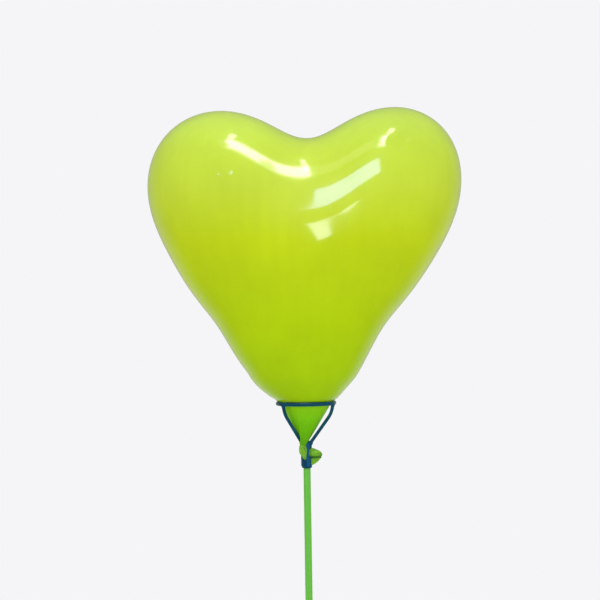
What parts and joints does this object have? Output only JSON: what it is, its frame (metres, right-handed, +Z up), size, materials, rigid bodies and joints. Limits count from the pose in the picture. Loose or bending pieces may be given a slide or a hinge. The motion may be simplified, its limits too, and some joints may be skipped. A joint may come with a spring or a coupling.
{
  "type": "latex balloon",
  "caption": "Heart-shaped lime green latex balloon, its neck wound into a dark teal moulded cup with a thin ring and slanted arms, on a light green plastic tube stick.",
  "frame": {"origin": "centre of the stick's free lower end", "axes": "+Z up the stick to the balloon; +X to the right across the heart; the heart's broad face looks along -Y"},
  "size_m": [0.2188, 0.13, 0.6441],
  "materials": {
    "stick_plastic": "extruded polypropylene tube, soft gloss",
    "cup_plastic": "moulded polypropylene, satin gloss",
    "stretched_latex": "dipped latex stretched thin, glossy and slightly see-through",
    "neck_latex": "dipped latex, little stretched, satin and deeper in colour",
    "slack_latex": "slack dipped latex, matt with small creases"
  },
  "bodies": {
    "stick": {"stick": "stick_plastic"},
    "cup": {"cup_hub": "cup_plastic", "cup_arm_right": "cup_plastic", "cup_arm_left": "cup_plastic", "cup_arm_back": "cup_plastic", "cup_ring": "cup_plastic", "neck_stem": "neck_latex", "neck_bulge": "slack_latex", "neck_wrap": "slack_latex", "tail_upper": "slack_latex", "tail_lower": "slack_latex", "rolled_lip": "slack_latex"},
    "neck": {"neck_cone": "neck_latex"},
    "heart": {"heart": "stretched_latex"}
  },
  "joints": [
    {"name": "cup_pull", "type": "slide", "parent": "stick", "child": "cup", "axis": [0, 0, 1], "range_m": [0, 0.009]},
    {"name": "neck_twist", "type": "hinge", "parent": "cup", "child": "neck", "pos_m": [0, 0, 0.4385], "axis": [0, 0, 1], "range_deg": [-35, 35], "stiffness_Nm_per_rad": 0.005},
    {"name": "heart_sway", "type": "hinge", "parent": "neck", "child": "heart", "pos_m": [0, 0, 0.4665], "axis": [0, 1, 0], "range_deg": [-8, 8], "stiffness_Nm_per_rad": 0.05}
  ]
}
